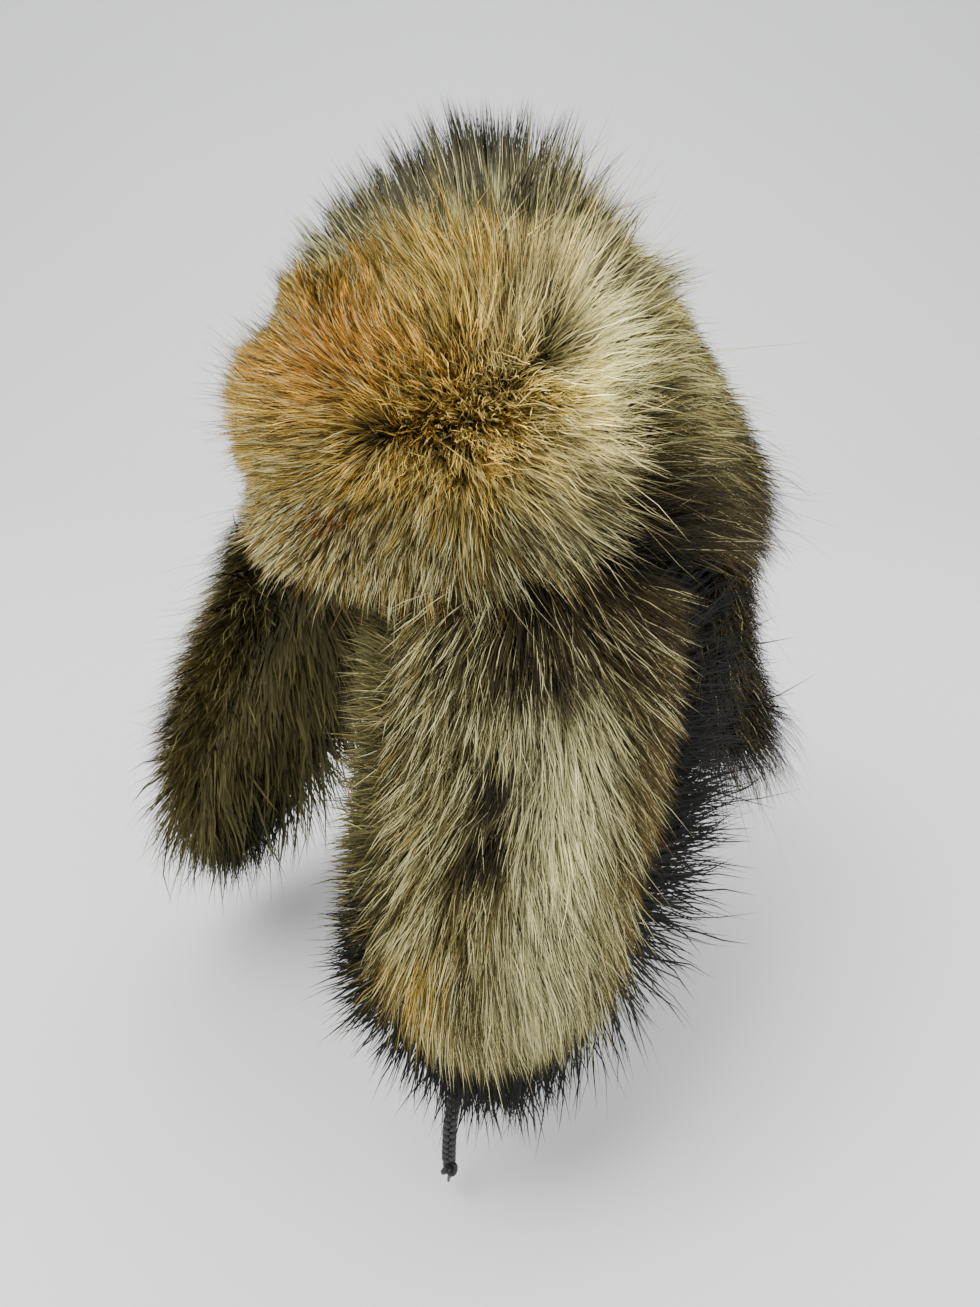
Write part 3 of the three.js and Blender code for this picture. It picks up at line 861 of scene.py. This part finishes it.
def tube(line, radius, sides=8):
    """Points and faces of a closed tube round a line, with rings square to it and a point at each end."""
    way = unit(np.gradient(line, axis=0))
    side = unit(np.cross(way, [0.3, 1.0, 0.2]))
    other = np.cross(way, side)
    angle = np.linspace(0, 2 * math.pi, sides, endpoint=False)
    radius = np.broadcast_to(radius, len(line))[:, None, None]
    circle = side[:, None] * np.cos(angle)[:, None] + other[:, None] * np.sin(angle)[:, None]
    rings = line[:, None] + radius * circle
    points = np.vstack([rings.reshape(-1, 3), line[:1], line[-1:]])
    j = np.arange(sides)
    k = (j + 1) % sides
    here = np.arange(len(line) - 1)[:, None] * sides
    quads = np.stack([here + j, here + k, here + sides + k, here + sides + j], axis=-1).reshape(-1, 4)
    end, last = len(points) - 2, (len(line) - 1) * sides
    start_cap = np.stack([end + 0 * j, k, j], axis=-1)
    end_cap = np.stack([end + 1 + 0 * j, last + j, last + k], axis=-1)
    return points, quads.tolist() + start_cap.tolist() + end_cap.tolist()


def joined_tubes(name, tubes):
    """One piece from several tubes."""
    points, faces, first = [], [], 0
    for some, sides in tubes:
        points.append(some)
        faces.extend([[first + i for i in face] for face in sides])
        first += len(some)
    mesh = bpy.data.meshes.new(name)
    mesh.from_pydata(np.concatenate(points).tolist(), [], faces)
    mesh.shade_smooth()
    piece = bpy.data.objects.new(name, mesh)
    bpy.context.scene.collection.objects.link(piece)
    return piece


def plait(line, width, turns):
    """Three strands that cross over in turn: each swings across by a sine, and in and out by one twice as
    fast."""
    way = unit(np.gradient(line, axis=0))
    across = unit(np.cross(way, [0.766, -0.643, 0.0]))
    out = np.cross(way, across)
    t = np.linspace(0, 2 * math.pi * turns, len(line))
    strand = 0.2 * width
    made = []
    for n in range(3):
        phase = 2 * math.pi * n / 3
        swing = (0.5 * width - strand) * np.sin(t + phase)
        lift = 0.16 * width * np.sin(2 * (t + phase))
        made.append(tube(line + across * swing[:, None] + out * lift[:, None], strand))
    return made


# Operators

# The camera's lens and sensor in millimetres, and its place as seen from the hat
CAMERA_LENS = 27.08
CAMERA_SENSOR = 36
CAMERA_AWAY = 0.436
CAMERA_ASIDE = 0.009
CAMERA_HEIGHT = 0.0123


def finish_piece(piece, material, slot, *nodes):
    """Gives a piece its material, its body and the nodes that it replaces; slot is not used."""
    piece.data.materials.append(material)
    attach(piece, "root")
    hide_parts(*nodes)


class HatSettings(bpy.types.PropertyGroup):
    """How many guard hairs each part of the hat has, and how long they are"""

    crown_hairs: IntProperty(name="Crown hairs", description="Guard hairs on the crown", default=27000)
    peak_hairs: IntProperty(name="Peak hairs", description="Guard hairs on the peak", default=32500)
    ear_hairs: IntProperty(name="Ear flap hairs", description="Guard hairs on each ear flap", default=15500)
    neck_hairs: IntProperty(name="Neck flap hairs", description="Guard hairs on the neck flap", default=13000)
    lining_hairs: IntProperty(name="Lining hairs", description="Guard hairs of a black lining", default=5500)
    hair_length: FloatProperty(
        name="Hair length",
        description="Length of a guard hair",
        default=0.040,
        subtype="DISTANCE",
        unit="LENGTH",
    )


class StageSettings(bpy.types.PropertyGroup):
    """The floor's height and the camera's angles"""

    floor_height: FloatProperty(
        name="Floor height",
        description="Height of the floor",
        default=-0.372,
        subtype="DISTANCE",
        unit="LENGTH",
    )
    camera_turn: FloatProperty(
        name="Camera turn",
        description="Camera's place round the hat",
        default=math.radians(50),
        subtype="ANGLE",
    )
    camera_pitch: FloatProperty(
        name="Camera pitch",
        description="How far the camera looks down",
        default=math.radians(25),
        subtype="ANGLE",
    )


class HAT_OT_leather(bpy.types.Operator):
    """Gives the leather walls of the crown, the peak and the flaps their material"""

    bl_idname = "hat.leather"
    bl_label = "Leather walls"

    def execute(self, context):
        leather = leather_material()
        for name in ("crown", "peak", "neck_flap", "ear_flap_left", "ear_flap_right"):
            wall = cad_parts[name]
            wall.data.materials.clear()
            wall.data.materials.append(leather)
        return {"FINISHED"}


class HAT_OT_crown_fur(bpy.types.Operator):
    """Grows the crown's fur"""

    bl_idname = "hat.crown_fur"
    bl_label = "Crown fur"

    def execute(self, context):
        settings = context.scene.trapper_hat
        material = fur_material("crown_fur")

        def behind_peak(a, b):
            """Where the peak covers the crown: its front, low down, from 0 to 1."""
            return step_up(np.cos(a), 0.35, 0.6) * step_up(b, 0.62, 0.8)

        def on_ridge(points):
            """Where the crown shows above the peak: its front, high up, from 0 to 1."""
            return step_up(-points[:, 1], -0.015, 0.01) * step_up(points[:, 2], -0.05, -0.03)

        def covered(a, b):
            """Thin behind the peak, even elsewhere."""
            return 1 - 0.85 * behind_peak(a, b)

        def ridge_only(a, b):
            """Hairs on the ridge alone."""
            return on_ridge(crown_skin(a, b, 0.0))

        def length(a, b, roots):
            """Longer low down; shorter on the upper back, behind the peak and on the ridge."""
            low = step_up(b, 0.5, 1.0)
            upper_back = step_up(roots[:, 1], 0.0, 0.03) * (1 - step_up(b, 0.6, 0.9))
            share = 0.78 + 0.3 * low - 0.34 * upper_back
            share = share * (1 - 0.55 * behind_peak(a, b)) * (1 - 0.25 * on_ridge(roots))
            return settings.hair_length * share

        def ridge_length(a, b, roots):
            """Longer in the crest: a bell curve round the top."""
            crest = np.exp(-(((roots[:, 0] + 0.003) / 0.02) ** 2) - ((roots[:, 1] + 0.006) / 0.02) ** 2)
            return settings.hair_length * (0.90 + 0.26 * crest)

        rng = np.random.default_rng(101)
        under_layers = [("under", UNDER_HAIRS["crown"], {})]
        guard_layers = [
            ("guard", settings.crown_hairs, {"fall": 18, "rise": 50}),
            ("flying", FLYING_HAIRS["crown"], {}),
        ]
        ridge_layers = [("ridge", RIDGE_HAIRS, {})]
        for name, layers, size, thickness in (
            ("crown_underfur", under_layers, length, covered),
            ("crown_fur", guard_layers, length, covered),
            ("crown_ridge", ridge_layers, ridge_length, ridge_only),
        ):
            piece = grow_pelt(
                name, "crown", layers, size, comb_crown, paint_crown, rng, CROWN_WALL, thickness
            )
            finish_piece(piece, material, "coyote_fur", "crown_fur")
        return {"FINISHED"}


class HAT_OT_peak_fur(bpy.types.Operator):
    """Grows the peak's fur"""

    bl_idname = "hat.peak_fur"
    bl_label = "Peak fur"

    def execute(self, context):
        settings = context.scene.trapper_hat
        material = fur_material("peak_fur")

        def length(a, b, roots):
            """Longer at the edge and the temple; shorter at the right upper corner, the brow and the
            partings."""
            edge = step_up(np.maximum(np.abs(a), np.abs(b)), 0.45, 1.0)
            corner = step_up(0.72 - a, 0, 0.6) * step_up(b, 0.15, 0.95)
            temple = step_up(a, 0.7, 1.0) * step_up(b, 0.0, 0.6)
            brow = step_up(-b, 0.0, 0.9) * step_up(0.85 - a, 0.0, 0.6)
            share = 0.60 + 0.36 * edge - 0.72 * corner + 0.22 * temple - 0.50 * brow
            return settings.hair_length * share * (1 - 0.5 * pit_amount(a, b))

        rng = np.random.default_rng(102)
        upright = {"rise": 62, "fall": 34}
        under_layers = [("under", UNDER_HAIRS["peak"], upright)]
        guard_layers = [
            ("guard", settings.peak_hairs, upright),
            ("rim", EDGE_HAIRS["peak"], {}),
            ("flying", FLYING_HAIRS["peak"], {"length": 1.5, "rise": 40, "fall": 24}),
        ]
        for name, layers in (("peak_underfur", under_layers), ("peak_fur", guard_layers)):
            piece = grow_pelt(name, "peak", layers, length, comb_peak, paint_peak, rng, FLAP_WALL)
            finish_piece(piece, material, "coyote_fur", "peak_fur")
        return {"FINISHED"}


class HAT_OT_ear_fur(bpy.types.Operator):
    """Grows the fur of both ear flaps, outside and inside"""

    bl_idname = "hat.ear_fur"
    bl_label = "Ear flap fur"

    def execute(self, context):
        settings = context.scene.trapper_hat
        fur = fur_material("ear_fur")
        black = fur_material("lining_fur")

        def length(a, b, roots):
            """Shorter at the lower and rear edges, and a little at the front edge."""
            edge = np.maximum(step_up(b, 0.55, 1.0), step_up(a, 0.5, 1.0))
            return settings.hair_length * (0.95 - 0.45 * edge - 0.25 * step_up(-a, 0.6, 1.0))

        def lining_length(a, b, roots):
            """Longest at the rear edge, long at the lower edge."""
            share = np.maximum(0.85 * step_up(a, 0.2, 0.95), 0.45 * step_up(b, 0.3, 1.0))
            return settings.hair_length * (0.62 + share)

        def far_lining_length(a, b, roots):
            """The far flap's lining hangs further past its edge."""
            return lining_length(a, b, roots) * 1.35

        comb = comb_from(ear_skin, (-0.1, -1.3), 41, 0.3)
        lining_comb = comb_from(ear_skin, (0.0, -0.6), 42, 0.2)
        outer_layers = [
            ("under", UNDER_HAIRS["ear"], {}),
            ("guard", settings.ear_hairs, {}),
            ("rim", EDGE_HAIRS["ear"], {}),
            ("flying", FLYING_HAIRS["ear"], {}),
        ]
        inner_layers = [
            ("guard", settings.lining_hairs, {"width": 0.0015, "rise": 26, "fall": 4}),
            ("rim", EDGE_HAIRS["lining"], {"rise": 2, "width": 0.0009, "length": 0.90, "pull": 0.1}),
        ]
        near_paints = paint_ear(EAR_PATCHES, 43, 1.0), paint_lining(0.75, 0.98, 0.1)
        # Painted shade: the far flap's colours are scaled down to 0.55.
        far_paints = paint_ear(FAR_EAR_PATCHES, 44, 0.55), paint_lining(-1.3, -0.6, 0.72)
        for side, mirrored, seed, paints in (
            ("left", False, 103, near_paints),
            ("right", True, 104, far_paints),
        ):
            rng = np.random.default_rng(seed)
            name = f"ear_flap_{side}_fur"
            outer = grow_pelt(
                name, "ear", outer_layers, length, comb, paints[0], rng, FLAP_WALL, mirrored=mirrored
            )
            finish_piece(outer, fur, "coyote_fur", name)
            name = f"ear_flap_{side}_lining"
            size = far_lining_length if mirrored else lining_length
            inner = grow_pelt(
                name, "lining", inner_layers, size, lining_comb, paints[1], rng, 0.0, mirrored=mirrored
            )
            finish_piece(inner, black, "black_fur", name)
        return {"FINISHED"}


class HAT_OT_neck_fur(bpy.types.Operator):
    """Grows the neck flap's fur"""

    bl_idname = "hat.neck_fur"
    bl_label = "Neck flap fur"

    def execute(self, context):
        settings = context.scene.trapper_hat

        def length(a, b, roots):
            """Longer towards the lower edge."""
            return settings.hair_length * (0.95 + 0.35 * step_up(b, 0.3, 1.0))

        layers = [
            ("under", UNDER_HAIRS["neck"], {}),
            ("guard", settings.neck_hairs, {"rise": 55, "fall": 18}),
            ("rim", EDGE_HAIRS["neck"], {}),
            ("flying", FLYING_HAIRS["neck"], {"rise": 36, "fall": 16}),
        ]
        comb = comb_from(neck_skin, (0.0, -2.5), 33, 0.3)
        rng = np.random.default_rng(105)
        piece = grow_pelt("neck_flap_fur", "neck", layers, length, comb, paint_neck, rng, FLAP_WALL)
        finish_piece(piece, fur_material("neck_fur"), "coyote_fur", "neck_flap_fur")
        return {"FINISHED"}


class HAT_OT_tie(bpy.types.Operator):
    """Plaits the tie and knots its end"""

    bl_idname = "hat.tie"
    bl_label = "Tie"

    def execute(self, context):
        material = lace_material()
        route = smooth_route(tie_points(), 36)
        fine = smooth_route(tie_points(), 110)
        lace = joined_tubes("tie_lace", plait(fine, TIE_WIDTH, TIE_TURNS))
        end = route[-1] - [0, 0, KNOT_DROP]
        t = np.linspace(0, 2 * math.pi, 90)
        wide = [np.sin(t) + 2 * np.sin(2 * t), np.cos(t) - 2 * np.cos(2 * t)]
        trefoil = np.stack([*wide, -1.6 * np.sin(3 * t)], axis=-1)
        loop = tube(end + trefoil * KNOT_SIZE, KNOT_STRAND)
        tail_t = np.linspace(0, 1, 24)[:, None]
        tail = end + tail_t * [-0.0005, 0.0004, -0.0095] + 0.0006 * np.sin(5 * tail_t) * [1, 0, 0]
        knot = joined_tubes("tie_knot", [loop, tube(tail, np.linspace(0.0013, 0.0005, 24))])
        for piece, node in ((lace, "tie_lace"), (knot, "tie_knot")):
            finish_piece(piece, material, "lace", node)
        tuple(route[0])
        return {"FINISHED"}


class HAT_OT_stage(bpy.types.Operator):
    """Sets up the floor, the lights and the camera"""

    bl_idname = "hat.stage"
    bl_label = "Stage"

    def execute(self, context):
        settings = context.scene.hat_stage
        turn, pitch, floor = settings.camera_turn, settings.camera_pitch, settings.floor_height
        across = Vector((math.cos(turn), math.sin(turn), 0))
        towards = Vector((math.sin(turn), -math.cos(turn), 0))

        camera = bpy.data.cameras.new("camera")
        camera.lens = CAMERA_LENS
        camera.sensor_width = CAMERA_SENSOR
        camera_object = bpy.data.objects.new("camera", camera)
        context.scene.collection.objects.link(camera_object)
        camera_object.location = towards * CAMERA_AWAY - across * CAMERA_ASIDE + Vector((0, 0, CAMERA_HEIGHT))
        look = -towards * math.cos(pitch) - Vector((0, 0, 1)) * math.sin(pitch)
        camera_object.rotation_euler = look.to_track_quat("-Z", "Y").to_euler()
        context.scene.camera = camera_object

        # A floor that reaches 0.9 m behind the hat, turns up in a quarter round of 0.8 m, and rises as a wall
        bend = np.linspace(0, math.pi / 2, 24)
        back = np.concatenate([[-3.0, 0.9], 0.9 + 0.8 * np.sin(bend), [1.7]])
        height = np.concatenate([[0, 0], 0.8 - 0.8 * np.cos(bend), [3.5]]) + floor
        away, right, up = -np.array(towards), np.array(across), np.array([0, 0, 1])
        sides = np.array([-3.5, 3.5])
        grid = away * back[:, None, None] + right * sides[None, :, None] + up * height[:, None, None]
        n = np.arange(len(back) - 1)[:, None] * 2
        mesh = bpy.data.meshes.new("backdrop")
        mesh.from_pydata(grid.reshape(-1, 3).tolist(), [], (n + [0, 1, 3, 2]).tolist())
        mesh.shade_smooth()
        backdrop = bpy.data.objects.new("backdrop", mesh)
        backdrop.data.materials.append(backdrop_material())
        context.scene.collection.objects.link(backdrop)

        lights = [
            {"name": "key", "side": -0.7, "ahead": 0.5, "up": 1.3, "size": 1.1, "power": 32},
            {"name": "fill", "side": 1.2, "ahead": 0.7, "up": 0.6, "size": 1.2, "power": 9},
            {"name": "top", "side": 0.1, "ahead": -0.5, "up": 1.5, "size": 1.4, "power": 16},
        ]
        for row in lights:
            light = bpy.data.lights.new(row["name"], "AREA")
            light.size = row["size"]
            light.energy = row["power"]
            holder = bpy.data.objects.new(row["name"], light)
            holder.location = across * row["side"] + towards * row["ahead"] + Vector((0, 0, row["up"]))
            aim = Vector((0, 0, -0.12)) - holder.location
            holder.rotation_euler = aim.to_track_quat("-Z", "Y").to_euler()
            context.scene.collection.objects.link(holder)

        world = bpy.data.worlds.new("studio")
        world.use_nodes = True
        world.node_tree.nodes["Background"].inputs["Color"].default_value = (0.97, 0.985, 1.0, 1)
        world.node_tree.nodes["Background"].inputs["Strength"].default_value = 0.72
        context.scene.world = world
        return {"FINISHED"}


class HAT_PT_panel(bpy.types.Panel):
    """Buttons for each piece of the hat"""

    bl_label = "Trapper hat"
    bl_idname = "HAT_PT_panel"
    bl_space_type = "VIEW_3D"
    bl_region_type = "UI"
    bl_category = "Hat"

    def draw(self, context):
        for settings in (context.scene.trapper_hat, context.scene.hat_stage):
            for name in settings.__annotations__:
                self.layout.prop(settings, name)
        for operator in OPERATORS:
            self.layout.operator(operator.bl_idname)


OPERATORS = (
    HAT_OT_stage,
    HAT_OT_tie,
    HAT_OT_leather,
    HAT_OT_crown_fur,
    HAT_OT_peak_fur,
    HAT_OT_ear_fur,
    HAT_OT_neck_fur,
)
CLASSES = (HatSettings, StageSettings, *OPERATORS, HAT_PT_panel)


def register():
    """Adds the classes, and the settings to the scene."""
    for cls in CLASSES:
        bpy.utils.register_class(cls)
    bpy.types.Scene.trapper_hat = PointerProperty(type=HatSettings)
    bpy.types.Scene.hat_stage = PointerProperty(type=StageSettings)


def unregister():
    """Takes away what register() adds."""
    del bpy.types.Scene.hat_stage
    del bpy.types.Scene.trapper_hat
    for cls in reversed(CLASSES):
        bpy.utils.unregister_class(cls)


def main():
    """Builds each group in turn."""
    register()
    bpy.ops.hat.stage()
    bpy.ops.hat.tie()
    bpy.ops.hat.leather()
    bpy.ops.hat.crown_fur()
    bpy.ops.hat.peak_fur()
    bpy.ops.hat.ear_fur()
    bpy.ops.hat.neck_fur()


if __name__ == "__main__":
    main()
